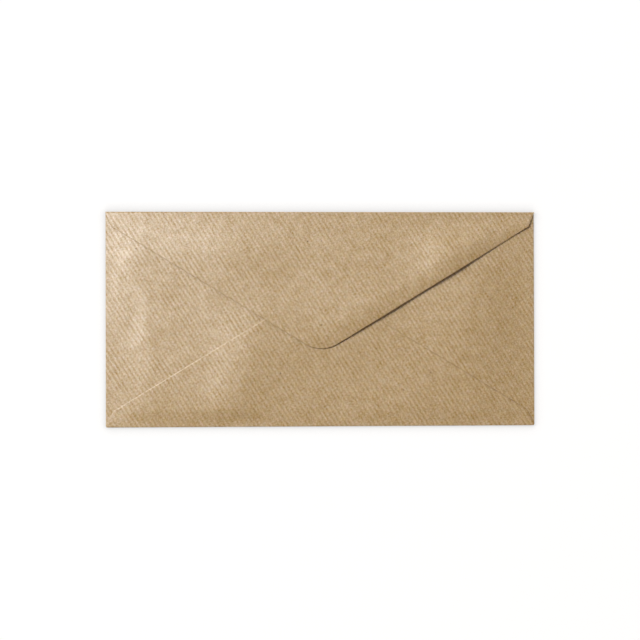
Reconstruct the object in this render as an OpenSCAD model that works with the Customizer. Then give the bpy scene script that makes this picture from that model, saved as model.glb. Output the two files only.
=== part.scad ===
// V-flap envelope, long format, folded from one sheet of ribbed kraft paper.
// It lies on its address side with its back up: X along the length, Y towards the
// top fold, Z up. The origin is the middle of the address side.
// The sheet is drawn panel by panel: a front panel, four flaps and the four creases
// between them, with the seam adhesive and the gum that close it.

/* [Envelope] */
// Length of the closed envelope, left crease to right crease
env_w = 220; // [210:1:240]
// Height of the closed envelope, bottom crease to top crease
env_h = 110; // [105:1:120]

/* [Paper] */
// Thickness of the kraft sheet
paper_t = 0.15; // [0.1:0.01:0.25]
// Air left inside the empty pocket
pocket_gap = 0.4; // [0.2:0.05:1]
// Air between the closed seal flap's gum and the back of the pocket
flap_gap = 0.35; // [0.1:0.05:1]

/* [Seal flap] */
// Depth of the V flap, from the top crease to its rounded tip
seal_depth = 70; // [62:1:76]
// Radius of the V flap's tip
seal_tip_r = 16; // [14:1:26]
// How far the shoulder bend's centre lies in from the end of the crease
seal_shoulder_in = 3.1; // [2.5:0.1:6]
// How far the shoulder bend's centre lies from the crease
seal_shoulder_h = 6.4; // [4:0.2:9]
// Radius of the shoulder bend
seal_shoulder_r = 0.6; // [0.4:0.2:2]
// Straight stretch beside the crease, before the flap's cheek leans in
seal_cheek_h = 0.4; // [0.2:0.1:2]

/* [Bottom flap] */
// Height of the bottom flap, from the bottom crease to its rounded top
bottom_depth = 67.5; // [60:0.5:72]
// Radius of the bottom flap's top
bottom_tip_r = 30; // [20:1:36]
// How far the shoulder bend's centre lies in from the end of the crease
bottom_shoulder_in = 6.6; // [4:0.2:9]
// How far the shoulder bend's centre lies from the crease
bottom_shoulder_h = 5.2; // [4:0.2:8]
// Radius of the shoulder bend
bottom_shoulder_r = 4; // [1:0.5:4]
// Straight stretch beside the crease, before the flap's cheek leans in
bottom_cheek_h = 1.6; // [0.4:0.2:2.4]

/* [Side flaps] */
// Depth of each side flap, from its crease to its rounded tip
side_depth = 90; // [84:1:98]
// Radius of a side flap's tip
side_tip_r = 18; // [12:1:24]
// How far the shoulder bend's centre lies in from the end of the crease
side_shoulder_in = 2.6; // [2:0.2:5]
// How far the shoulder bend's centre lies from the crease
side_shoulder_h = 2.4; // [2:0.2:5]
// Radius of the shoulder bend
side_shoulder_r = 2; // [0.5:0.5:2]
// Straight stretch beside the crease, before the flap's cheek leans in
side_cheek_h = 0.4; // [0.2:0.1:1]

/* [Adhesives] */
// Thickness of the dried seam adhesive
glue_t = 0.04; // [0.02:0.01:0.08]
// Width of a seam's adhesive strip
glue_w = 5; // [3:0.5:6]
// Bare margin between a seam's adhesive and the edge of the bottom flap
glue_margin = 1; // [0.5:0.5:2]
// Where a seam's adhesive starts, along the edge from the bottom flap's shoulder
glue_start = 15; // [10:1:25]
// Where a seam's adhesive ends, along the same edge
glue_end = 80; // [60:1:85]
// Thickness of the dry gum film on the seal flap
gum_t = 0.04; // [0.02:0.01:0.06]
// Width of the gum band
gum_w = 11; // [8:0.5:12]
// Bare margin between the gum and the seal flap's edge
gum_margin = 2; // [1:0.5:3]
// Where the gum starts, along the edge from the seal flap's shoulder
gum_start = 6; // [4:1:20]

/* [Hidden] */
$fn = 64;
kraft = "#bca380";
kraft_shade = "#b39a77";
crease_tone = "#ad9370";
glue_tone = "#d9cba6";
gum_tone = "#cdb98f";

// Heights of the stacked layers, from the address side up
side_z = paper_t + pocket_gap;
glue_z = side_z + paper_t;
bottom_z = glue_z + glue_t;
gum_z = bottom_z + paper_t + flap_gap;
seal_z = gum_z + gum_t;

// A crease goes round its own stack of layers, so half that height is its radius
side_fold_r = (side_z + paper_t) / 2;
bottom_fold_r = (bottom_z + paper_t) / 2;
seal_fold_r = (seal_z + paper_t) / 2;

// Lines where the flat panels run into their creases
crease_x = env_w / 2 - side_fold_r;
crease_bottom_y = -env_h / 2 + bottom_fold_r;
crease_top_y = env_h / 2 - seal_fold_r;
side_crease_mid_y = (crease_top_y + crease_bottom_y) / 2;
side_crease_len = crease_top_y - crease_bottom_y;
// Slit that lets the seal flap swing flat beside the front panel
swing_slit = 0.05;
// How far inside a round end its straight neighbours end, so that the two cross cleanly
arc_lap = 0.002;

// A flap lies in its own frame: its crease along X through the origin, and its depth
// along Y. Its outline is a belt round seven discs [x, y, radius]: on each side the
// crease's end, the foot of the cheek and the shoulder bend, with the tip between.
function flap_discs(crease_len, depth, tip_r, in, h, bend_r, cheek_h) = [
    [crease_len / 2, 0, 0],
    [crease_len / 2, cheek_h, 0],
    [crease_len / 2 - in, h, bend_r],
    [0, depth - tip_r, tip_r],
    [in - crease_len / 2, h, bend_r],
    [-crease_len / 2, cheek_h, 0],
    [-crease_len / 2, 0, 0]
];
// Places in that list
shoulder = 2;
tip = 3;
seal_discs = flap_discs(2 * crease_x, seal_depth - seal_fold_r, seal_tip_r,
                        seal_shoulder_in, seal_shoulder_h, seal_shoulder_r, seal_cheek_h);
bottom_discs = flap_discs(2 * crease_x, bottom_depth - bottom_fold_r, bottom_tip_r,
                          bottom_shoulder_in, bottom_shoulder_h, bottom_shoulder_r,
                          bottom_cheek_h);
side_discs = flap_discs(side_crease_len, side_depth - side_fold_r, side_tip_r,
                        side_shoulder_in, side_shoulder_h, side_shoulder_r, side_cheek_h);

function centre(disc) = [disc[0], disc[1]];
// Outward unit normal of the straight stretch from disc a to disc b, anticlockwise
function outward(a, b) =
    let (run = centre(b) - centre(a), span = norm(run), along = run / span,
         lean = (a[2] - b[2]) / span)
    lean * along + sqrt(1 - lean * lean) * [along[1], -along[0]];
// The stretch's two ends, where it meets the discs
function stretch(a, b) =
    let (out = outward(a, b))
    [for (disc = [a, b]) centre(disc) + max(disc[2] - arc_lap, 0) * out];
// A point beside the edge that runs from a flap's shoulder to its tip: a distance
// along the edge from the shoulder, and a distance in from the edge
function beside_edge(discs, along, in) =
    let (ends = stretch(discs[shoulder], discs[tip]), run = ends[1] - ends[0])
    ends[0] + along * run / norm(run) - in * outward(discs[shoulder], discs[tip]);

// Flat shape inside a belt that runs anticlockwise round the discs
module belt(discs) {
    last = len(discs) - 1;
    polygon([for (i = [0:last]) each stretch(discs[i], discs[i == last ? 0 : i + 1])]);
    for (disc = discs)
        if (disc[2] > 0)
            translate(centre(disc)) circle(disc[2]);
}

// One flap of the sheet, lying on Z = 0 in its own frame
module flap(discs) {
    linear_extrude(paper_t) belt(discs);
}

// One crease: the sheet turned through half a circle about a line along X, on the
// side of -Y, from the address side up to the flap it carries
module crease(outer_r, crease_len) {
    rotate([90, 0, 90])
        translate([0, outer_r, -crease_len / 2])
            linear_extrude(crease_len)
                difference() {
                    circle(outer_r);
                    circle(outer_r - paper_t);
                    translate([0, -outer_r]) square(2 * outer_r);
                }
}

// Adhesive strip in the right-hand seam, in the bottom flap's frame
module seam_strip() {
    in = glue_margin + glue_w / 2;
    linear_extrude(glue_t)
        belt([for (along = [glue_start, glue_end])
            concat(beside_edge(bottom_discs, along, in), glue_w / 2)]);
}

// What a flap of the bottom edge, the top edge or a side becomes once folded over
module at_bottom(z) { translate([0, crease_bottom_y, z]) children(); }
module at_top(z) { translate([0, crease_top_y, z]) mirror([0, 1, 0]) children(); }
module at_left(z) { translate([-crease_x, side_crease_mid_y, z]) rotate(-90) children(); }
module at_right(z) { translate([crease_x, side_crease_mid_y, z]) rotate(90) children(); }

module front_panel() {
    color(kraft)
        translate([-crease_x, crease_bottom_y, 0])
            cube([2 * crease_x, side_crease_len, paper_t]);
}

module left_side_flap() { color(kraft_shade) at_left(side_z) flap(side_discs); }
module right_side_flap() { color(kraft_shade) at_right(side_z) flap(side_discs); }
module bottom_flap() { color(kraft) at_bottom(bottom_z) flap(bottom_discs); }

module seal_flap() {
    color(kraft)
        at_top(seal_z)
            difference() {
                flap(seal_discs);
                translate([-env_w / 2, 0, 0]) cube([env_w, swing_slit, paper_t]);
            }
}

module left_fold() { color(crease_tone) at_left(0) crease(side_fold_r, side_crease_len); }
module right_fold() { color(crease_tone) at_right(0) crease(side_fold_r, side_crease_len); }
module bottom_fold() { color(crease_tone) at_bottom(0) crease(bottom_fold_r, 2 * crease_x); }
module seal_fold() { color(crease_tone) at_top(0) crease(seal_fold_r, 2 * crease_x); }

module right_seam_glue() { color(glue_tone) at_bottom(glue_z) seam_strip(); }
module left_seam_glue() { color(glue_tone) mirror([1, 0, 0]) at_bottom(glue_z) seam_strip(); }

// A V-shaped band of gum on the seal flap's inner face, along both edges and the tip
module seal_gum() {
    bounds = [for (in = [gum_margin, gum_margin + gum_w])
        let (end = beside_edge(seal_discs, gum_start, in))
        [concat(end, 0), seal_discs[tip] - [0, 0, in], [-end[0], end[1], 0]]];
    color(gum_tone)
        at_top(gum_z)
            linear_extrude(gum_t)
                difference() {
                    belt(bounds[0]);
                    belt(bounds[1]);
                }
}

front_panel();
left_side_flap();
right_side_flap();
bottom_flap();
seal_flap();
left_fold();
right_fold();
bottom_fold();
seal_fold();
left_seam_glue();
right_seam_glue();
seal_gum();
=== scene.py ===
import math
import bmesh
import bpy
import numpy as np
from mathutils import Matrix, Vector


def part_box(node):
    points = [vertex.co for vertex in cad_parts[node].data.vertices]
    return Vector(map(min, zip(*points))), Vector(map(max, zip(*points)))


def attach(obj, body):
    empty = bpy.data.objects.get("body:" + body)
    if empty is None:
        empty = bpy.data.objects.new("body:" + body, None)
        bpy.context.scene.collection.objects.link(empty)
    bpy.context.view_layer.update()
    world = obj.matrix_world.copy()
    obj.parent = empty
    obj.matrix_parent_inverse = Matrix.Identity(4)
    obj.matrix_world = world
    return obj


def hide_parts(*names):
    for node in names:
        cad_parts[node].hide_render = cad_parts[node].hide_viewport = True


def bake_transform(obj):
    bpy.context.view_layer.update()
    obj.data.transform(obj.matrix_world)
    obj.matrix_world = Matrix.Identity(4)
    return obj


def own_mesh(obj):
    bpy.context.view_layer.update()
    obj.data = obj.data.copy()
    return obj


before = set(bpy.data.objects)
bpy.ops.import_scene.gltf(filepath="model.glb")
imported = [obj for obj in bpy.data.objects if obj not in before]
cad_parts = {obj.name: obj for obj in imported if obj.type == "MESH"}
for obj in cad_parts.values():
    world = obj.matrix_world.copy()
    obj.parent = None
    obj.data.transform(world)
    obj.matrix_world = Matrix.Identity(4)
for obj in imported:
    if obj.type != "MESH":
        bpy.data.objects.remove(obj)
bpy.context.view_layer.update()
mm = 0.001  # sizes below are in millimetres, meshes in metres

scene = bpy.context.scene
scene.view_settings.view_transform = "Standard"


# a CAD node's lowest and highest corner, in millimetres
def boxMm(node):
    low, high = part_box(node)
    return np.array(low) / mm, np.array(high) / mm


frontLow, frontHigh = boxMm("front_panel")
creaseX = frontHigh[0]
creaseTop = frontHigh[1]
creaseBottom = frontLow[1]
creaseMid = (creaseTop + creaseBottom) / 2
paper = frontHigh[2] - frontLow[2]
# a crease goes round its stack of layers, so its radius is half its height
sideFold = boxMm("left_fold")[1][2] / 2
bottomFold = boxMm("bottom_fold")[1][2] / 2
sealFold = boxMm("seal_fold")[1][2] / 2
print("frame: creases at x", round(creaseX, 3), "y", round(creaseBottom, 3), round(creaseTop, 3))


# camera

cameraSet = dict(
    place=(-0.0232, -0.0032, 0.6),  # metres
    turn=(0.27, -2.15, -0.14),  # degrees
    focalPixels=1169.0,
    imagePixels=640,
    sensor=36.0,
    nearClip=0.01,
)


def makeCamera(values):
    data = bpy.data.cameras.new("photoCamera")
    data.sensor_width = values["sensor"]
    data.lens = values["focalPixels"] / values["imagePixels"] * values["sensor"]
    data.clip_start = values["nearClip"]
    camera = bpy.data.objects.new("photoCamera", data)
    camera.location = values["place"]
    camera.rotation_euler = [math.radians(angle) for angle in values["turn"]]
    scene.collection.objects.link(camera)
    scene.camera = camera


makeCamera(cameraSet)
print("camera: lens", round(scene.camera.data.lens, 1), "mm")


# paper relief, as heights over the flat drawing

# smooth step: 0 below 0, 1 above 1, level at both ends
def ease(t):
    t = np.clip(t, 0, 1)
    return t * t * (3 - 2 * t)


# sum of bell-shaped swells, one for each row: height * exp(-(dx / wide) squared - (dy / tall) squared)
def swellSum(x, y, rows):
    midX, midY, wide, tall, height = np.array(rows, float).T[:, :, None]
    bells = np.exp(-((x.ravel() - midX) / wide) ** 2 - ((y.ravel() - midY) / tall) ** 2)
    return (height * bells).sum(0).reshape(x.shape)


# cockle of the paper: small swells at random places, of random size and either sign
def cockleSum(x, y, values):
    rng = np.random.default_rng(values["seed"])
    count = values["count"]
    size = rng.uniform(*values["size"], count)
    midX = rng.uniform(-creaseX, creaseX, count)
    midY = rng.uniform(creaseBottom, creaseTop, count)
    height = rng.normal(0, values["height"], count)
    return swellSum(x, y, np.stack([midX, midY, size, size, height], 1))


pocketSet = dict(
    crown=0.42,  # how far the empty pocket's back stands above its creases
    crownRun=22.0,  # how far in from a side crease the crown is reached
    topRun=24.0,  # the same from the top
    bottomRun=8.5,  # and from the bottom
    swells=[  # x, y, wide, tall, height
        (-37, -18, 15, 18, 1.15),
        (-48, -42, 14, 16, 1.15),
        (-76, -36, 15, 16, 0.30),
        (-89, -32, 8, 14, 0.30),
        (75, -5, 20, 27, 1.80),
        (80, -40, 12, 11, 0.30),
        (82, 22, 10, 10, 0.45),
        (-98, 0, 6, 9, -0.36),
        (-101, 34, 9, 14, 0.72),
        (8, -34, 22, 22, -0.35),
        (40, -40, 20, 20, 0.30),
        (30, -28, 13, 13, -0.40),
    ],
    cockle=dict(seed=7, count=260, size=(4.5, 9.0), height=0.05),
)

sealSet = dict(
    lift=1.00,  # how far the free edge has sprung up on the right
    liftRun=58.0,  # depth at which it is reached
    calmSide=0.1,  # share of the lift on the left, where the flap lies closer
    turnOver=(-40.0, 30.0),  # where along the flap the lift grows
    swells=[
        (64, 33, 13, 15, 1.65),
        (-45, 38, 16, 16, 0.35),
        (-12, 22, 12, 13, -0.28),
        (6, 46, 18, 9, -0.18),
        (-52, 47, 14, 8, 0.25),
        (-38, 8, 16, 10, -0.13),
        (-16, 10, 11, 13, 0.25),
        (79, 45, 8, 8, 1.60),
        (2, -14, 11, 11, -0.35),
    ],
    cockle=dict(seed=11, count=260, size=(4.5, 9.0), height=0.05),
    corners=[(108, 46, 9, 7, 0.45)],  # a shoulder that stands off
    cornerRun=6.0,  # how far from the crease it does
    bow=0.50,  # how far the flap bows up towards its right-hand edge
    bowRun=26.0,
    dip=0.65,  # how far the edge itself bows back down
    dipRun=10.0,
    settle=0.20,  # how far the left-hand edge lies closer to the back
    settleRun=10.0,
    marginRun=14.0,  # how far from the crease both margins take their full shape
)

frontSet = dict(
    edgeRun=14.0,  # how far in from the creases the swells reach their height
    swells=[
        (-60, 20, 26, 26, 0.05),
        (45, -15, 30, 30, 0.06),
        (80, 30, 20, 20, 0.03),
        (-20, -30, 22, 22, 0.04),
    ],
    columns=181,
    rows=91,
)


# 1 well inside the creases and 0 on them: product of smooth steps in from the sides and from the top
def insideFrom(x, y, sideRun, topRun):
    return ease((creaseX - np.abs(x)) / sideRun) * ease((creaseTop - y) / topRun)


# height of the pocket's back: a crown that dies out at the creases, with swells and cockle on it
def pocketRelief(x, y):
    inside = insideFrom(x, y, pocketSet["crownRun"], pocketSet["topRun"])
    inside = inside * ease((y - creaseBottom) / pocketSet["bottomRun"])
    bumps = swellSum(x, y, pocketSet["swells"]) + cockleSum(x, y, pocketSet["cockle"])
    return inside * (pocketSet["crown"] + bumps)


# height of the seal flap: the back's crown and swells with its own, a free edge that springs up, a shoulder
# that stands off, a right-hand margin that bows up then dips by a square, and a left-hand one that settles
def sealRelief(x, y):
    inside = insideFrom(x, y, pocketSet["crownRun"], pocketSet["topRun"])
    bumps = swellSum(x, y, pocketSet["swells"] + sealSet["swells"])
    bumps = bumps + cockleSum(x, y, sealSet["cockle"])
    left, right = sealSet["turnOver"]
    spring = sealSet["calmSide"] + (1 - sealSet["calmSide"]) * ease((x - left) / (right - left))
    deep = insideFrom(x, y, pocketSet["crownRun"], sealSet["liftRun"])
    corner = swellSum(x, y, sealSet["corners"]) * ease((creaseTop - y) / sealSet["cornerRun"])
    inward = inFromSealEdge(x, y)
    bow = sealSet["bow"] * ease(1 - inward / sealSet["bowRun"])
    dip = sealSet["dip"] * np.clip(1 - inward / sealSet["dipRun"], 0, 1) ** 2
    settle = sealSet["settle"] * ease(1 - inFromSealEdge(-x, y) / sealSet["settleRun"])
    margin = (bow - dip - settle) * ease((creaseTop - y) / sealSet["marginRun"])
    return inside * (pocketSet["crown"] + bumps) + sealSet["lift"] * spring * deep + corner + margin


# height of the address side: faint swells that stay off the table
def frontRelief(x, y):
    inside = insideFrom(x, y, frontSet["edgeRun"], frontSet["edgeRun"])
    inside = inside * ease((y - creaseBottom) / frontSet["edgeRun"])
    return inside * swellSum(x, y, frontSet["swells"])


# sheets

rimSet = dict(
    steps=6,  # faces round a cut edge
    wearAndPaintedLightIn=0.3,  # share of the edge's wear and painted light on the faces beside it
    sharpAngle=55.0,  # degrees
)


# closes a grid of outer points and a grid of inner points into one sheet, with a rounded rim at the borders
# rim = middle of the border pair + half their gap * cos + outward * nose * sin, over a half turn
# the rim's value grows with its nose: above 0 a pale wear that also paints a highlight, below 0 a painted
# shade
def sheetMesh(name, outer, inner, outward, nose, blank, wearAndPaintedLight=1.0):
    rows, cols = outer.shape[:2]
    count = rows * cols
    index = np.arange(count).reshape(rows, cols)
    loop = np.concatenate([index[0, :-1], index[:-1, -1], index[-1, :0:-1], index[:0:-1, 0]])
    turn = np.linspace(0, math.pi, rimSet["steps"] + 1)[1:-1, None]
    outerRim = outer.reshape(-1, 3)[loop]
    innerRim = inner.reshape(-1, 3)[loop]
    push = (outward * nose[..., None]).reshape(-1, 3)[loop]
    middle = (outerRim + innerRim) / 2
    reach = (outerRim - innerRim) / 2
    rim = middle + reach * np.cos(turn)[..., None] + push * np.sin(turn)[..., None]
    points = np.concatenate([outer.reshape(-1, 3), inner.reshape(-1, 3), rim.reshape(-1, 3)]) * mm
    quads = np.stack([index[:-1, :-1], index[:-1, 1:], index[1:, 1:], index[1:, :-1]], -1).reshape(-1, 4)
    rings = 2 * count + np.arange(len(turn) * len(loop)).reshape(len(turn), -1)
    rings = np.concatenate([loop[None], rings, count + loop[None]])
    onward = np.roll(rings, -1, axis=1)
    band = np.stack([rings[:-1], rings[1:], onward[1:], onward[:-1]], -1).reshape(-1, 4)
    faces = np.concatenate([quads, count + quads[:, ::-1], band])
    mesh = bpy.data.meshes.new(name)
    mesh.from_pydata(points.tolist(), [], faces.tolist())
    # "sheet" holds the flat sheet's millimetres with 0 outside and 1 inside, "cut" the edge's wear and
    # painted light
    flat = blank.reshape(-1, 2)
    sheet = np.zeros((len(points), 3))
    sheet[:, :2] = np.concatenate([flat, flat, np.tile(flat[loop], (len(turn), 1))])
    sheet[count:2 * count, 2] = 1
    sheet[2 * count:, 2] = np.repeat((1 - np.cos(turn.ravel())) / 2, len(loop))
    wornAndPaintedLight = (nose * wearAndPaintedLight).ravel()[loop] / max(nose.max(), paper)
    cut = np.zeros(len(points))
    cut[loop] = rimSet["wearAndPaintedLightIn"] * wornAndPaintedLight
    cut[2 * count:] = (np.sin(turn) * wornAndPaintedLight).ravel()
    mesh.attributes.new("sheet", "FLOAT_VECTOR", "POINT").data.foreach_set("vector", sheet.ravel())
    mesh.attributes.new("cut", "FLOAT", "POINT").data.foreach_set("value", cut)
    shell = bmesh.new()
    shell.from_mesh(mesh)
    bmesh.ops.recalc_face_normals(shell, faces=shell.faces)
    shell.to_mesh(mesh)
    shell.free()
    mesh.shade_smooth()
    mesh.set_sharp_from_angle(angle=math.radians(rimSet["sharpAngle"]))
    piece = bpy.data.objects.new(name, mesh)
    scene.collection.objects.link(piece)
    return piece


# where a flap lies: the middle of its crease, the direction along it and the direction of its depth
places = dict(
    left=((-creaseX, creaseMid), (0, 1), (1, 0)),
    right=((creaseX, creaseMid), (0, 1), (-1, 0)),
    bottom=((0, creaseBottom), (1, 0), (0, 1)),
    top=((0, creaseTop), (1, 0), (0, -1)),
)
mirrored = (-1, 1)  # the flat sheet is seen from outside, so the front's x turns over


# (across, along, z) in a flap's frame to x, y, z: origin + across * side + along * depth
def laid(place, across, along, z):
    origin, side, deep = (np.array(v, float) for v in places[place])
    flat = origin + across[..., None] * side + along[..., None] * deep
    return np.concatenate([flat, z[..., None]], -1)


# the same as a direction, level with the table
def facing(place, across, along):
    side, deep = (np.array(v + (0,), float) for v in places[place][1:])
    return across[..., None] * side + along[..., None] * deep


# place on the flat sheet at a distance past a crease, where a flap goes on outwards from the front
def onBlank(place, across, past):
    origin, side, deep = (np.array(v, float) * mirrored for v in places[place])
    return origin + across[..., None] * side - past[..., None] * deep


# flap outlines, in a flap's own frame: across its crease and along its depth

# half the length of a flap's crease, and the flap's depth past it
def flapSize(place, node):
    low, high = boxMm(node)
    if place in ("left", "right"):
        return (creaseTop - creaseBottom) / 2, high[0] - low[0]
    return creaseX, (creaseTop - low[1]) if place == "top" else (high[1] - creaseBottom)


# the discs that shape half of a flap, each (across, along, radius): cheek foot, shoulder bend and tip
def flapDiscs(half, depth, shape):
    foot = (half, shape["cheekFoot"], 0.0)
    shoulder = (half - shape["shoulderIn"], shape["shoulderDeep"], shape["shoulderRadius"])
    tip = (0.0, depth - shape["tipRadius"], shape["tipRadius"])
    return foot, shoulder, tip


# angle of the outward normal of the straight edge that touches two discs
# the edge leans to the smaller disc by the difference of radii over the distance of centres
def edgeAngle(a, b):
    run = (b[0] - a[0], b[1] - a[1])
    return math.atan2(-run[0], run[1]) + math.asin((a[2] - b[2]) / math.hypot(*run))


# unit vectors at the given angles
def toward(angle):
    return np.stack([np.cos(angle), np.sin(angle)], -1)


# points on a disc's rim at the given angles: centre + radius * unit vector
def onRim(disc, angle):
    return np.array(disc[:2]) + disc[2] * toward(angle)


# points on a straight run from a towards b, without b itself
def straight(a, b, count):
    t = np.linspace(0, 1, count, endpoint=False)[:, None]
    return np.array(a) * (1 - t) + np.array(b) * t


# half of a flap's outline, as points and normal angles, from the crease's end to just short of the middle
# straight runs join the discs, and arcs turn from one run's normal to the next
def flapEdge(half, depth, shape):
    foot, shoulder, tip = flapDiscs(half, depth, shape)
    cheek = edgeAngle(foot, shoulder)
    side = edgeAngle(shoulder, tip)
    bend = np.linspace(cheek, side, shape["bendRows"])
    nose = np.linspace(side, math.radians(shape["tipEnd"]), shape["tipRows"])
    bendPoints = onRim(shoulder, bend)
    nosePoints = onRim(tip, nose)
    footPoints = straight((half, 0.0), foot[:2], shape["footRows"])
    cheekPoints = straight(foot[:2], bendPoints[0], shape["cheekRows"])
    sidePoints = straight(bendPoints[-1], nosePoints[0], shape["sideRows"])[1:]
    points = np.concatenate([footPoints, cheekPoints, bendPoints, sidePoints, nosePoints])
    angles = np.concatenate([
        np.zeros(len(footPoints)),
        np.full(len(cheekPoints), cheek),
        bend,
        np.full(len(sidePoints), side),
        nose,
    ])
    return points, angles


# how far a point lies in from the seal flap's straight right-hand edge, or from the left-hand one for -x
# it is the edge's own distance along its normal, less the point's
def inFromSealEdge(x, y):
    shoulder, tip = flapDiscs(*flapSize("top", "seal_flap"), sealFlapSet)[1:]
    out = toward(edgeAngle(shoulder, tip))
    return tip[2] + tip[1] * out[1] - x * out[0] - (creaseTop - y) * out[1]


# how far a cut edge strays from its line at distances along it: sines of random phase, none at the crease
def edgeStray(distance, rng, shape):
    waves = np.array(shape["strayWaves"])[:, None]
    phase = rng.uniform(0, 2 * math.pi, waves.shape)
    sines = np.sin(2 * math.pi * distance / waves + phase).sum(0)
    return shape["stray"] * sines * ease(distance / shape["strayRun"])


# flaps

# what all the flaps' cut edges share
cutSet = dict(
    nose=0.34,  # how far the rounded edge stands out past the faces
    noseRun=1.5,  # how far from the crease it does
    stray=0.035,
    strayWaves=(3.1, 5.7, 12.0),
    strayRun=12.0,
    wearAndPaintedLight=(0.5, 0.5),  # on the left and the right edge: pale wear that also paints a highlight above 0, painted shade below
    wearAndPaintedLightRise=(0.0, 0.0),  # growth of the wear and painted light over the flap's depth
    wearAndPaintedLightFade=0.4,  # how far the wear and painted light follow the stray
    tipEnd=89.3,  # degrees, where the last row stops short of the tip's middle
    footRows=3,
    cheekRows=6,
    bendRows=5,
)
sideFlapSet = dict(
    cutSet,
    cheekFoot=0.4,
    shoulderIn=2.6,
    shoulderDeep=2.4,
    shoulderRadius=2.0,
    tipRadius=18.0,
    foldRows=10,
    sideRows=71,
    tipRows=22,
    columns=101,
)
bottomFlapSet = dict(
    cutSet,
    cheekFoot=1.6,
    shoulderIn=6.6,
    shoulderDeep=5.2,
    shoulderRadius=4.0,
    tipRadius=30.0,
    # the left-hand edge gets a pale edge and painted highlight that grows with depth, the right-hand one
    # painted shade
    wearAndPaintedLight=(0.20, -0.85),
    wearAndPaintedLightRise=(5.0, -0.7),
    foldRows=10,
    sideRows=57,
    tipRows=26,
    columns=181,
)
sealFlapSet = dict(
    cutSet,
    cheekFoot=0.4,
    shoulderIn=3.1,
    shoulderDeep=6.4,
    shoulderRadius=0.6,
    tipRadius=16.0,
    # both edges get painted shade, which darkens the lines beside the flap
    wearAndPaintedLight=(-0.22, -0.35),
    slit=0.01,  # lets the flap swing clear of the front
    foldRows=0,  # its crease is a piece of its own
    sideRows=61,
    tipRows=24,
    columns=181,
)


# one value for each of a flap's rows: those round its crease, then those of the flap itself
def downRows(fold, flat):
    return np.concatenate([fold, flat])[:, None]


# one flap, with its crease first where foldRows asks for one: the sheet turned half round its stack of layers
# rows go down the half outline from the crease, and columns from edge to edge
# wear and painted light of an edge = its own share * growth over the depth * growth with the stray
def makeFlap(name, place, node, shape, relief, foldRadius, seed):
    low, high = boxMm(node)
    half, depth = flapSize(place, node)
    points, angles = flapEdge(half, depth, shape)
    nose = shape["nose"] * ease(points[:, 1] / shape["noseRun"])
    points = points - toward(angles) * nose[:, None]
    if place == "top":
        points[0, 1] = shape["slit"]
    turn = np.linspace(-math.pi / 2, math.pi / 2, shape["foldRows"], endpoint=False)
    innerRadius = foldRadius - paper
    flat = np.ones(len(points))
    outerAlong = downRows(-foldRadius * np.cos(turn), points[:, 1])
    innerAlong = downRows(-innerRadius * np.cos(turn), points[:, 1])
    outerZ = downRows(foldRadius * (1 + np.sin(turn)), flat * high[2])
    innerZ = downRows(foldRadius + innerRadius * np.sin(turn), flat * low[2])
    past = downRows(foldRadius * (turn + math.pi / 2), math.pi * foldRadius + points[:, 1])
    wide = downRows(half + 0 * turn, points[:, 0])
    lean = downRows(0 * turn, angles)
    rng = np.random.default_rng(seed)
    run = np.concatenate([[0], np.cumsum(np.hypot(*np.diff(points, axis=0).T))])
    rightStray = downRows(0 * turn, edgeStray(run, rng, shape))
    leftStray = downRows(0 * turn, edgeStray(run, rng, shape))
    s = np.linspace(-1, 1, shape["columns"])[None]
    across = wide * s + rightStray * (1 + s) / 2 + leftStray * (1 - s) / 2
    level = np.ones_like(across)
    outer = laid(place, across, outerAlong * level, outerZ * level)
    inner = laid(place, across, innerAlong * level, innerZ * level)
    rise = relief(outer[..., 0], outer[..., 1])
    outer[..., 2] += rise
    inner[..., 2] += rise
    outward = facing(place, np.cos(lean) * s, np.sin(lean) * level)
    # above 0 a pale edge that also paints a highlight, below 0 painted shade
    wearAndPaintedLight = np.where(s < 0, *shape["wearAndPaintedLight"])
    wearAndPaintedLight = wearAndPaintedLight * (1 + np.where(s < 0, *shape["wearAndPaintedLightRise"]) * outerAlong / depth)
    wearAndPaintedLight = wearAndPaintedLight * (1 + shape["wearAndPaintedLightFade"] * (across - wide * s) / shape["stray"])
    blank = onBlank(place, across, past * level)
    return sheetMesh(name, outer, inner, outward, downRows(0 * turn, nose) * level, blank, wearAndPaintedLight)


leftFlap = makeFlap("leftSideFlap", "left", "left_side_flap", sideFlapSet, pocketRelief, sideFold, 1)
rightFlap = makeFlap("rightSideFlap", "right", "right_side_flap", sideFlapSet, pocketRelief, sideFold, 2)
bottomFlap = makeFlap("bottomFlap", "bottom", "bottom_flap", bottomFlapSet, pocketRelief, bottomFold, 3)
sealFlap = makeFlap("sealFlap", "top", "seal_flap", sealFlapSet, sealRelief, sealFold, 4)
print("flaps: two sides, bottom and seal")


# front and seal crease

# the address side: a plain rectangle of the sheet between the four creases
def makeFront(values):
    x = np.linspace(-creaseX, creaseX, values["columns"])[None, :] * np.ones((values["rows"], 1))
    y = np.linspace(creaseBottom, creaseTop, values["rows"])[:, None] * np.ones((1, values["columns"]))
    rise = frontRelief(x, y)
    outer = np.stack([x, y, frontLow[2] + rise], -1)
    inner = np.stack([x, y, frontHigh[2] + rise], -1)
    return sheetMesh("frontPanel", outer, inner, 0 * outer, 0 * x, np.stack([x, y], -1) * mirrored)


sealCreaseSet = dict(columns=181, rows=15)


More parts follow.
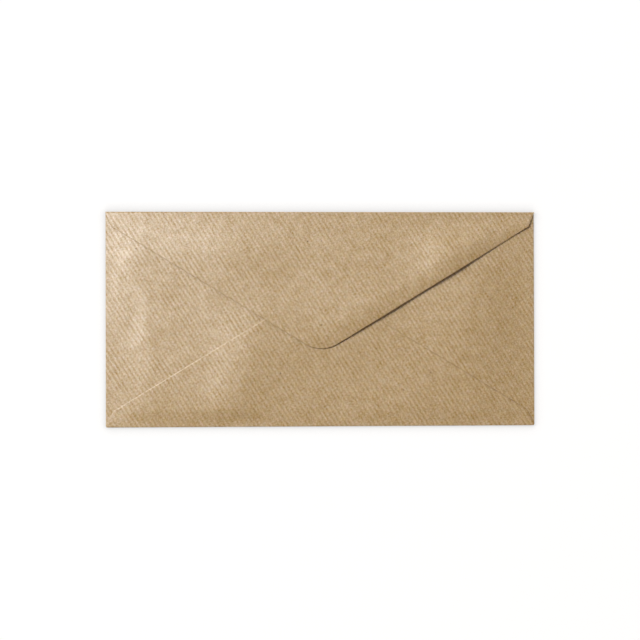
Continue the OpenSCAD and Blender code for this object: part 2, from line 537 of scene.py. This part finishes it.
# the seal flap's crease: the sheet carried round half a circle from the address side up to the flap
def makeSealCrease(values):
    turn = np.linspace(-math.pi / 2, math.pi / 2, values["rows"])[:, None]
    end = creaseX + sideFold  # out to the side creases, so that the corners are square
    across = np.linspace(-end, end, values["columns"])[None, :] * np.ones_like(turn)
    level = np.ones_like(across)
    innerRadius = sealFold - paper
    outerZ = sealFold * (1 + np.sin(turn)) * level
    innerZ = (sealFold + innerRadius * np.sin(turn)) * level
    outer = laid("top", across, -sealFold * np.cos(turn) * level, outerZ)
    inner = laid("top", across, -innerRadius * np.cos(turn) * level, innerZ)
    blank = onBlank("top", across, sealFold * (turn + math.pi / 2) * level)
    return sheetMesh("sealCrease", outer, inner, 0 * outer, 0 * across, blank)


frontPanel = makeFront(frontSet)
sealCrease = makeSealCrease(sealCreaseSet)
print("front and seal crease made")


# adhesives

gumSet = dict(
    margin=2.0,  # bare paper between the flap's edge and the band
    width=11.0,
    nose=0.25,  # how far the band's sides are rounded off
    rows=13,
    runColumns=60,
    arcColumns=21,
)
glueSet = dict(
    margin=1.0,
    width=5.0,
    start=15.0,  # along the bottom flap's edge, from its shoulder
    end=80.0,
    nose=0.15,
    endShare=0.97,  # how far round its end the strip is drawn
    rows=9,
    columns=61,
)
shortest = 1e-9  # stands in for the length of a direction that is not set


# a film on a sheet: a grid of (across, along) in a flap's frame, between the film's lower and upper height
# its long sides are rounded, away from the neighbouring row
def makeFilm(name, place, node, across, along, relief, blank, nose):
    low, high = boxMm(node)
    level = np.ones_like(across)
    outer = laid(place, across, along, low[2] * level)
    inner = laid(place, across, along, high[2] * level)
    rise = relief(outer[..., 0], outer[..., 1])
    outer[..., 2] += rise
    inner[..., 2] += rise
    step = np.gradient(outer[..., :2], axis=0)
    away = np.zeros_like(outer)
    away[0, :, :2] = -step[0]
    away[-1, :, :2] = step[-1]
    length = np.maximum(np.linalg.norm(away, axis=-1, keepdims=True), shortest)
    return sheetMesh(name, outer, inner, away / length, nose * level, blank)


# gum on the seal flap's inner face: a band at a distance in from the edge, cut level at its two ends
# at each distance it is a straight run to the tip's arc, the arc, and the run mirrored
def makeGum(values):
    shoulder, tip = flapDiscs(*flapSize("top", "seal_flap"), sealFlapSet)[1:]
    side = edgeAngle(shoulder, tip)
    first = values["margin"] + values["nose"]
    last = values["margin"] + values["width"] - values["nose"]
    inward = np.linspace(first, last, values["rows"])[:, None]
    turn = np.linspace(side, math.pi - side, values["arcColumns"])[None]
    arcAcross = (tip[2] - inward) * np.cos(turn)
    arcAlong = tip[1] + (tip[2] - inward) * np.sin(turn)
    endAlong = creaseTop - boxMm("seal_gum")[1][1]
    run = np.linspace(0, 1, values["runColumns"], endpoint=False)[None]
    endAcross = arcAcross[:, :1] + (arcAlong[:, :1] - endAlong) * math.tan(side)
    runAcross = endAcross * (1 - run) + arcAcross[:, :1] * run
    runAlong = endAlong * (1 - run) + arcAlong[:, :1] * run
    across = np.concatenate([runAcross, arcAcross, -runAcross[:, ::-1]], 1)
    along = np.concatenate([runAlong, arcAlong, runAlong[:, ::-1]], 1)
    stepAcross = np.diff(across, axis=1, prepend=across[:, :1])
    stepAlong = np.diff(along, axis=1, prepend=along[:, :1])
    travel = np.cumsum(np.hypot(stepAcross, stepAlong), 1)
    blank = np.stack([travel, inward * np.ones_like(travel)], -1)
    return makeFilm("sealGum", "top", "seal_gum", across, along, sealRelief, blank, values["nose"])


# seam adhesive under one edge of the bottom flap: a straight strip with round ends
# half width = radius * root of (1 - (how far past the straight part / radius) squared)
def makeGlue(name, node, values, hand):
    shoulder, tip = flapDiscs(*flapSize("bottom", "bottom_flap"), bottomFlapSet)[1:]
    side = edgeAngle(shoulder, tip)
    radius = values["width"] / 2 - values["nose"]
    reach = radius * values["endShare"]
    travel = np.linspace(values["start"] - reach, values["end"] + reach, values["columns"])[None]
    past = np.maximum(np.maximum(values["start"] - travel, travel - values["end"]), 0)
    inward = values["margin"] + values["width"] / 2
    inward = inward + np.sqrt(radius ** 2 - past ** 2) * np.linspace(-1, 1, values["rows"])[:, None]
    first = onRim(shoulder, np.array(side))
    out = toward(np.array(side))
    across = hand * (first[0] - travel * out[1] - inward * out[0])
    along = first[1] + travel * out[0] - inward * out[1]
    blank = np.stack([travel * np.ones_like(inward), inward], -1)
    return makeFilm(name, "bottom", node, across, along, pocketRelief, blank, values["nose"])


sealGum = makeGum(gumSet)
rightGlue = makeGlue("rightSeamGlue", "right_seam_glue", glueSet, 1)
leftGlue = makeGlue("leftSeamGlue", "left_seam_glue", glueSet, -1)
print("adhesives: gum band and two seams")


# material helpers

# fills a node's inputs: a link where a socket is given, a plain value elsewhere
def setInputs(tree, node, inputs):
    for key, value in dict(inputs).items():
        if isinstance(value, bpy.types.NodeSocket):
            tree.links.new(value, node.inputs[key])
        else:
            node.inputs[key].default_value = value


# adds a node with its settings and inputs
def addNode(tree, kind, inputs=(), **settings):
    node = tree.nodes.new(kind)
    for key, value in settings.items():
        setattr(node, key, value)
    setInputs(tree, node, inputs)
    return node


# one arithmetic node on one to three numbers or sockets
def calc(tree, operation, *values):
    return addNode(tree, "ShaderNodeMath", enumerate(values), operation=operation).outputs[0]


# one arithmetic node on vectors
def vectorCalc(tree, operation, *values):
    return addNode(tree, "ShaderNodeVectorMath", enumerate(values), operation=operation).outputs


# noise about 0 at a point, with a size in millimetres on each axis
def noiseAt(tree, point, size, detail, rough):
    scaled = vectorCalc(tree, "MULTIPLY", point, [1 / v for v in size])[0]
    inputs = {"Vector": scaled, "Scale": 1.0, "Detail": detail, "Roughness": rough}
    return calc(tree, "SUBTRACT", addNode(tree, "ShaderNodeTexNoise", inputs).outputs[0], 0.5)


# a noise for each name, from its size, detail and roughness
def noiseLayers(tree, point, layers):
    return {name: noiseAt(tree, point, *layer) for name, layer in layers.items()}


# value carried from one range to another, held at the ends
def ranged(tree, value, low, high, toLow, toHigh):
    inputs = {"Value": value, "From Min": low, "From Max": high, "To Min": toLow, "To Max": toHigh}
    return addNode(tree, "ShaderNodeMapRange", inputs).outputs[0]


# start + each layer * its share
def layered(tree, start, layers, shares):
    result = start
    for name, share in shares.items():
        result = calc(tree, "MULTIPLY_ADD", layers[name], share, result)
    return result


# colour between two, by a factor that may leave 0 to 1 where clamp is off
def mixed(tree, factor, a, b, clamp=True):
    inputs = {"Factor": factor, "A": a, "B": b}
    node = addNode(tree, "ShaderNodeMix", inputs, data_type="RGBA", clamp_factor=clamp)
    return node.outputs["Result"]


# a new shader group with its sockets, as the tree and the input sockets
def newGroup(name, inputs, outputs):
    tree = bpy.data.node_groups.new(name, "ShaderNodeTree")
    for label, kind in inputs.items():
        tree.interface.new_socket(label, in_out="INPUT", socket_type="NodeSocket" + kind)
    for label, kind in outputs.items():
        tree.interface.new_socket(label, in_out="OUTPUT", socket_type="NodeSocket" + kind)
    return tree, tree.nodes.new("NodeGroupInput").outputs


# links a group's results to its outputs
def closeGroup(tree, results):
    end = tree.nodes.new("NodeGroupOutput")
    for label, socket in results.items():
        tree.links.new(socket, end.inputs[label])


# kraft paper

kraftSet = dict(
    ridge=(0.509, 0.390, 0.241, 1),
    groove=(0.383, 0.264, 0.117, 1),
    fleck=(0.085, 0.050, 0.025, 1),
    rust=(0.255, 0.145, 0.062, 1),
    # pale cut edge, which also paints a highlight on the edge that faces the key
    paleCutEdgeAndHighlight=(0.70, 0.57, 0.39, 1),
    # painted shade along the edges that lie close over the sheet below
    paintedEdgeShade=(0.190, 0.107, 0.034, 1),
    ribAngle=-58.0,  # degrees from the sheet's X
    ribPitch=2.11,
    sideShift=50.0,  # keeps the inner face's pattern apart from the outer one's
    drift=2.5,  # radians that noise moves the ribs by, over long and short stretches
    jitter=0.8,
    ribFade=(0.5, 1.5),  # weakest and strongest ribs
    fadeNoise=0.25,  # noise on either side of 0 that gives them
    # size across the ribs, along them and through the sheet, then detail and roughness
    ribNoise=dict(
        drift=((20.0, 45.0, 20.0), 2.0, 0.5),
        jitter=((3.0, 8.0, 3.0), 1.0, 0.5),
        fade=((9.0, 15.0, 9.0), 1.0, 0.5),
        fibre=((0.6, 1.8, 0.6), 1.0, 0.5),
        grain=((0.75, 0.85, 0.75), 3.0, 0.6),
        cloud=((16.0, 24.0, 16.0), 2.0, 0.5),
    ),
    # the same with the sheet's own X and Y
    sheetNoise=dict(
        mottle=((4.5, 4.5, 4.5), 2.0, 0.5),
        hairLine=((6.0, 6.0, 6.0), 1.0, 0.5),
        hairPatch=((8.3, 8.3, 8.3), 1.0, 0.5),
    ),
    hairWidth=0.025,  # noise within which a hair lies
    hairFrom=(0.14, 0.18),  # noise past which hairs begin, and past which they are full
    tone=dict(ribs=0.275, fibre=0.9, grain=4.3, mottle=1.2, cloud=0.3, hair=-0.5),
    toneLevel=0.5,
    tint=(0.20, 0.0, 0.50),  # how far red, green and blue stray from each other
    tintScale=0.45,
    tintDetail=2.0,
    glaze=dict(ribs=0.18, grain=0.7, mottle=0.8, cloud=0.6),
    glazeLevel=0.8,
    rough=dict(grain=0.3, mottle=0.3, side=0.15),
    roughLevel=0.6,
    heightMm=dict(ribs=0.014, fibre=0.012, grain=0.012),
    coatRoughness=0.36,
    specular=0.12,
    fleckCell=7.0,
    fleckChance=0.16,
    fleckSize=0.46,
    fleckSoft=1 / 3,  # share of the size over which a fleck's edge fades
    fleckDepth=0.8,
)


# ribbed kraft: the sine of the distance across the ribs, wandering and fading with noise,
# under fibres along the ribs, even grain, mottle, clouds, stray hairs and dark flecks
def makeKraftGroup(values):
    outputs = dict(Color="Color", Roughness="Float", Glaze="Float", Height="Float")
    tree, given = newGroup("ribbedKraft", dict(Sheet="Vector", Cut="Float"), outputs)
    angle = math.radians(values["ribAngle"])
    sheet = given["Sheet"]
    side = addNode(tree, "ShaderNodeSeparateXYZ", {0: sheet}).outputs[2]
    u = vectorCalc(tree, "DOT_PRODUCT", sheet, (-math.sin(angle), math.cos(angle), 0))["Value"]
    v = vectorCalc(tree, "DOT_PRODUCT", sheet, (math.cos(angle), math.sin(angle), 0))["Value"]
    shift = calc(tree, "MULTIPLY", side, values["sideShift"])
    ribPoint = addNode(tree, "ShaderNodeCombineXYZ", {0: u, 1: v, 2: shift}).outputs[0]
    layers = noiseLayers(tree, ribPoint, values["ribNoise"])
    layers.update(noiseLayers(tree, sheet, values["sheetNoise"]))
    drift = calc(tree, "MULTIPLY", layers["drift"], values["drift"])
    wander = calc(tree, "MULTIPLY_ADD", layers["jitter"], values["jitter"], drift)
    phase = calc(tree, "MULTIPLY_ADD", u, 2 * math.pi / values["ribPitch"], wander)
    fade = ranged(tree, layers["fade"], -values["fadeNoise"], values["fadeNoise"], *values["ribFade"])
    hairOff = calc(tree, "ABSOLUTE", layers["hairLine"])
    hairLine = ranged(tree, hairOff, 0.0, values["hairWidth"], 1.0, 0.0)
    hairPatch = ranged(tree, layers["hairPatch"], *values["hairFrom"], 0.0, 1.0)
    layers["ribs"] = calc(tree, "MULTIPLY", calc(tree, "SINE", phase), fade)
    layers["hair"] = calc(tree, "MULTIPLY", hairLine, hairPatch)
    layers["side"] = side
    tone = layered(tree, values["toneLevel"], layers, values["tone"])
    colour = mixed(tree, tone, values["groove"], values["ridge"], clamp=False)
    # a slight stray of the hue, as 1 + (coloured noise - a half) * tint
    tintInputs = {"Vector": sheet, "Scale": values["tintScale"], "Detail": values["tintDetail"]}
    stray = addNode(tree, "ShaderNodeTexNoise", tintInputs).outputs["Color"]
    stray = vectorCalc(tree, "SUBTRACT", stray, (0.5, 0.5, 0.5))[0]
    stray = vectorCalc(tree, "MULTIPLY_ADD", stray, values["tint"], (1, 1, 1))[0]
    colour = vectorCalc(tree, "MULTIPLY", colour, stray)[0]
    # flecks: round spots of random size and colour, in a few of the cells
    cellInputs = {"Vector": sheet, "Scale": 1 / values["fleckCell"]}
    cells = addNode(tree, "ShaderNodeTexVoronoi", cellInputs, voronoi_dimensions="2D")
    chance = addNode(tree, "ShaderNodeSeparateColor", {0: cells.outputs["Color"]}).outputs
    largest = values["fleckSize"] / values["fleckCell"]
    size = ranged(tree, chance[0], 1 - values["fleckChance"], 1.0, 0.0, largest)
    depth = calc(tree, "SUBTRACT", size, cells.outputs["Distance"])
    fleck = ranged(tree, depth, 0.0, largest * values["fleckSoft"], 0.0, values["fleckDepth"])
    colour = mixed(tree, fleck, colour, mixed(tree, chance[1], values["fleck"], values["rust"]))
    # edges: pale wear and painted highlight where the value is above 0, painted shade where it is below
    colour = mixed(tree, given["Cut"], colour, values["paleCutEdgeAndHighlight"])
    colour = mixed(tree, calc(tree, "MULTIPLY", given["Cut"], -1.0), colour, values["paintedEdgeShade"])
    closeGroup(tree, dict(
        Color=colour,
        Roughness=layered(tree, values["roughLevel"], layers, values["rough"]),
        Glaze=layered(tree, values["glazeLevel"], layers, values["glaze"]),
        Height=layered(tree, 0.0, layers, values["heightMm"]),
    ))
    return tree


# a bump node for heights in millimetres
def bumpFrom(tree, height):
    inputs = {"Strength": 1.0, "Distance": mm, "Height": height}
    return addNode(tree, "ShaderNodeBump", inputs).outputs["Normal"]


# a new material, as itself, its tree and a mesh attribute for the place on the flat sheet
def newMaterial(name):
    material = bpy.data.materials.new(name)
    material.use_nodes = True
    tree = material.node_tree
    sheet = addNode(tree, "ShaderNodeAttribute", attribute_name="sheet").outputs["Vector"]
    return material, tree, sheet


# paper with a faint glaze: the group's colour and bump under a coat whose weight the same texture breaks up
def makeKraft(group, values):
    material, tree, sheet = newMaterial("kraftPaper")
    cut = addNode(tree, "ShaderNodeAttribute", attribute_name="cut").outputs["Fac"]
    kraft = addNode(tree, "ShaderNodeGroup", {"Sheet": sheet, "Cut": cut}, node_tree=group).outputs
    setInputs(tree, tree.nodes["Principled BSDF"], {
        "Base Color": kraft["Color"],
        "Roughness": kraft["Roughness"],
        "Specular IOR Level": values["specular"],
        "Coat Weight": kraft["Glaze"],
        "Coat Roughness": values["coatRoughness"],
        "Normal": bumpFrom(tree, kraft["Height"]),
    })
    return material


# adhesive finishes

gumFilm = dict(thin=(0.400, 0.280, 0.132, 1), thick=(0.300, 0.196, 0.078, 1), roughness=0.24)
seamFilm = dict(thin=(0.560, 0.450, 0.270, 1), thick=(0.640, 0.545, 0.360, 1), roughness=0.38)
filmSet = dict(
    noise=dict(  # size along the band, across it and through it, then detail and roughness
        streak=((14.0, 0.9, 1.0), 3.0, 0.6),
        blotch=((5.0, 4.0, 1.0), 2.0, 0.5),
        peel=((0.8, 0.6, 0.5), 2.0, 0.5),
    ),
    tone=dict(streak=1.6, blotch=1.4, peel=0.4),
    toneLevel=0.5,
    rough=dict(streak=0.25, blotch=-0.3),
    heightMm=dict(streak=0.012, peel=0.008),
)


# dried film: streaks along the band, blotches where it lies thicker, and a fine orange-peel relief
def makeFilmGroup(values):
    inputs = dict(Sheet="Vector", Thin="Color", Thick="Color", Level="Float")
    tree, given = newGroup("driedFilm", inputs, dict(Color="Color", Roughness="Float", Height="Float"))
    layers = noiseLayers(tree, given["Sheet"], values["noise"])
    thickness = layered(tree, values["toneLevel"], layers, values["tone"])
    closeGroup(tree, dict(
        Color=mixed(tree, thickness, given["Thin"], given["Thick"]),
        Roughness=layered(tree, given["Level"], layers, values["rough"]),
        Height=layered(tree, 0.0, layers, values["heightMm"]),
    ))
    return tree


def makeFilmMaterial(name, group, values):
    material, tree, sheet = newMaterial(name)
    inputs = {"Sheet": sheet, "Thin": values["thin"], "Thick": values["thick"], "Level": values["roughness"]}
    film = addNode(tree, "ShaderNodeGroup", inputs, node_tree=group).outputs
    setInputs(tree, tree.nodes["Principled BSDF"], {
        "Base Color": film["Color"],
        "Roughness": film["Roughness"],
        "Normal": bumpFrom(tree, film["Height"]),
    })
    return material


kraftPaper = makeKraft(makeKraftGroup(kraftSet), kraftSet)
filmGroup = makeFilmGroup(filmSet)
finishes = [
    (kraftPaper, "kraft_paper", [leftFlap, rightFlap, bottomFlap, sealFlap, frontPanel, sealCrease]),
    (makeFilmMaterial("sealGum", filmGroup, gumFilm), "seal_gum", [sealGum]),
    (makeFilmMaterial("seamAdhesive", filmGroup, seamFilm), "seam_adhesive", [leftGlue, rightGlue]),
]
for material, slot, pieces in finishes:
    for piece in pieces:
        piece.data.materials.append(material)
print("materials: kraft, gum and seam adhesive")


# bodies

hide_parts("left_side_flap", "left_fold")
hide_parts("right_side_flap", "right_fold")
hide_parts("bottom_flap", "bottom_fold")
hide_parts("front_panel")
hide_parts("seal_flap")
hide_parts("seal_fold")
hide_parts("seal_gum")
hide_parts("left_seam_glue")
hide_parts("right_seam_glue")
for piece in (leftFlap, rightFlap, bottomFlap, frontPanel, leftGlue, rightGlue):
    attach(piece, "pocket")
for piece in (sealFlap, sealGum):
    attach(piece, "flap")
    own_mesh(piece)  # each gets a mesh of its own
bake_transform(sealCrease)
print("bodies: pocket, flap and the crease between them")


# stage and light

stageSet = dict(
    floorDrop=0.5,  # how far under the envelope the table lies
    floorReach=2.0,  # metres, level part of the sweep
    sweepRise=1.2,
    levelRings=8,
    bendRings=12,
    around=64,
    bounceColour=(0.8, 0.8, 0.8, 1),  # what other surfaces see
    matteColour=(0.12, 0.12, 0.12, 1),  # what the camera sees, with the glow
    glow=0.90,
    contactReach=0.006,  # metres, how far the soft contact shadow spreads
    contactDepth=0.42,
    contactPower=0.55,
)
# brightest at the horizon, dark overhead where the camera hangs
airSet = dict(colour=(1.0, 0.74, 0.48, 1), strength=0.60, power=2.0)
lamps = dict(
    key=dict(place=(-1.46, 0.95, 1.93), size=(0.60, 0.90), watts=65.0, sheen=False),
    softbox=dict(place=(-0.46, 0.24, 1.0), size=(0.40, 0.40), watts=15.5, sheen=True),
    strip=dict(place=(0.05, 0.42, 1.0), size=(1.20, 0.12), watts=3.0, sheen=True),  # along the top fold
)


# table and backdrop: a profile of a level run and a quarter-round rise, carried round the vertical axis
def makeStage(values):
    bend = np.linspace(0, math.pi / 2, values["bendRings"])[1:]
    level = np.linspace(mm, values["floorReach"], values["levelRings"])
    reach = np.concatenate([level, values["floorReach"] + values["sweepRise"] * np.sin(bend)])[:, None]
    rise = np.concatenate([0 * level, values["sweepRise"] * (1 - np.cos(bend))])[:, None]
    rise = rise - values["floorDrop"] * mm
    turn = np.linspace(0, 2 * math.pi, values["around"], endpoint=False)[None]
    points = np.stack([reach * np.cos(turn), reach * np.sin(turn), rise * np.ones_like(turn)], -1)
    index = np.arange(points.size // 3).reshape(points.shape[:2])
    onward = np.roll(index, -1, axis=1)
    quads = np.stack([index[:-1], index[1:], onward[1:], onward[:-1]], -1).reshape(-1, 4)
    mesh = bpy.data.meshes.new("studioSweep")
    mesh.from_pydata(points.reshape(-1, 3).tolist(), [], quads.tolist() + [index[0].tolist()])
    mesh.shade_smooth()
    floor = bpy.data.objects.new("studioSweep", mesh)
    scene.collection.objects.link(floor)
    mesh.materials.append(makeStageWhite(values))


# white table: a glow that the object's contact shadow darkens, over a little plain matte for its cast shadow
def makeStageWhite(values):
    material = bpy.data.materials.new("studioWhite")
    material.use_nodes = True
    tree = material.node_tree
    tree.nodes.clear()
    contact = addNode(tree, "ShaderNodeAmbientOcclusion", {"Distance": values["contactReach"]}).outputs["AO"]
    shade = calc(tree, "POWER", calc(tree, "SUBTRACT", 1.0, contact), values["contactPower"])
    lit = calc(tree, "MULTIPLY_ADD", shade, -values["contactDepth"], 1.0)
    glow = addNode(tree, "ShaderNodeEmission", {"Strength": calc(tree, "MULTIPLY", lit, values["glow"])})
    matte = addNode(tree, "ShaderNodeBsdfDiffuse", {"Color": values["matteColour"]})
    shown = addNode(tree, "ShaderNodeAddShader", {0: glow.outputs[0], 1: matte.outputs[0]})
    bounce = addNode(tree, "ShaderNodeBsdfDiffuse", {"Color": values["bounceColour"]})
    rays = addNode(tree, "ShaderNodeLightPath").outputs
    seen = calc(tree, "MAXIMUM", rays["Is Camera Ray"], rays["Is Glossy Ray"])
    seen = calc(tree, "MAXIMUM", seen, rays["Is Transmission Ray"])
    both = addNode(tree, "ShaderNodeMixShader", {0: seen, 1: bounce.outputs[0], 2: shown.outputs[0]})
    addNode(tree, "ShaderNodeOutputMaterial", {"Surface": both.outputs[0]})
    return material


# an area lamp that looks at the middle of the envelope, for the sheen alone or for all but the sheen
def makeLamp(name, values):
    data = bpy.data.lights.new(name, "AREA")
    data.shape = "RECTANGLE"
    data.size, data.size_y = values["size"]
    data.energy = values["watts"]
    light = bpy.data.objects.new(name, data)
    light.location = values["place"]
    light.rotation_euler = (-light.location).to_track_quat("-Z", "Y").to_euler()
    light.visible_diffuse = not values["sheen"]
    light.visible_glossy = values["sheen"]
    scene.collection.objects.link(light)


# the room's own light: strength * (1 - height of the direction to a power)
def makeAir(values):
    world = bpy.data.worlds.new("studioAir")
    world.use_nodes = True
    tree = world.node_tree
    direction = addNode(tree, "ShaderNodeTexCoord").outputs["Generated"]
    height = addNode(tree, "ShaderNodeSeparateXYZ", {0: direction}).outputs[2]
    raised = calc(tree, "POWER", calc(tree, "ABSOLUTE", height), values["power"])
    strength = calc(tree, "MULTIPLY_ADD", raised, -values["strength"], values["strength"])
    setInputs(tree, tree.nodes["Background"], {"Color": values["colour"], "Strength": strength})
    scene.world = world


makeStage(stageSet)
for lampName, lampSet in lamps.items():
    makeLamp(lampName, lampSet)
makeAir(airSet)
print("stage: sweep and", len(lamps), "lamps")
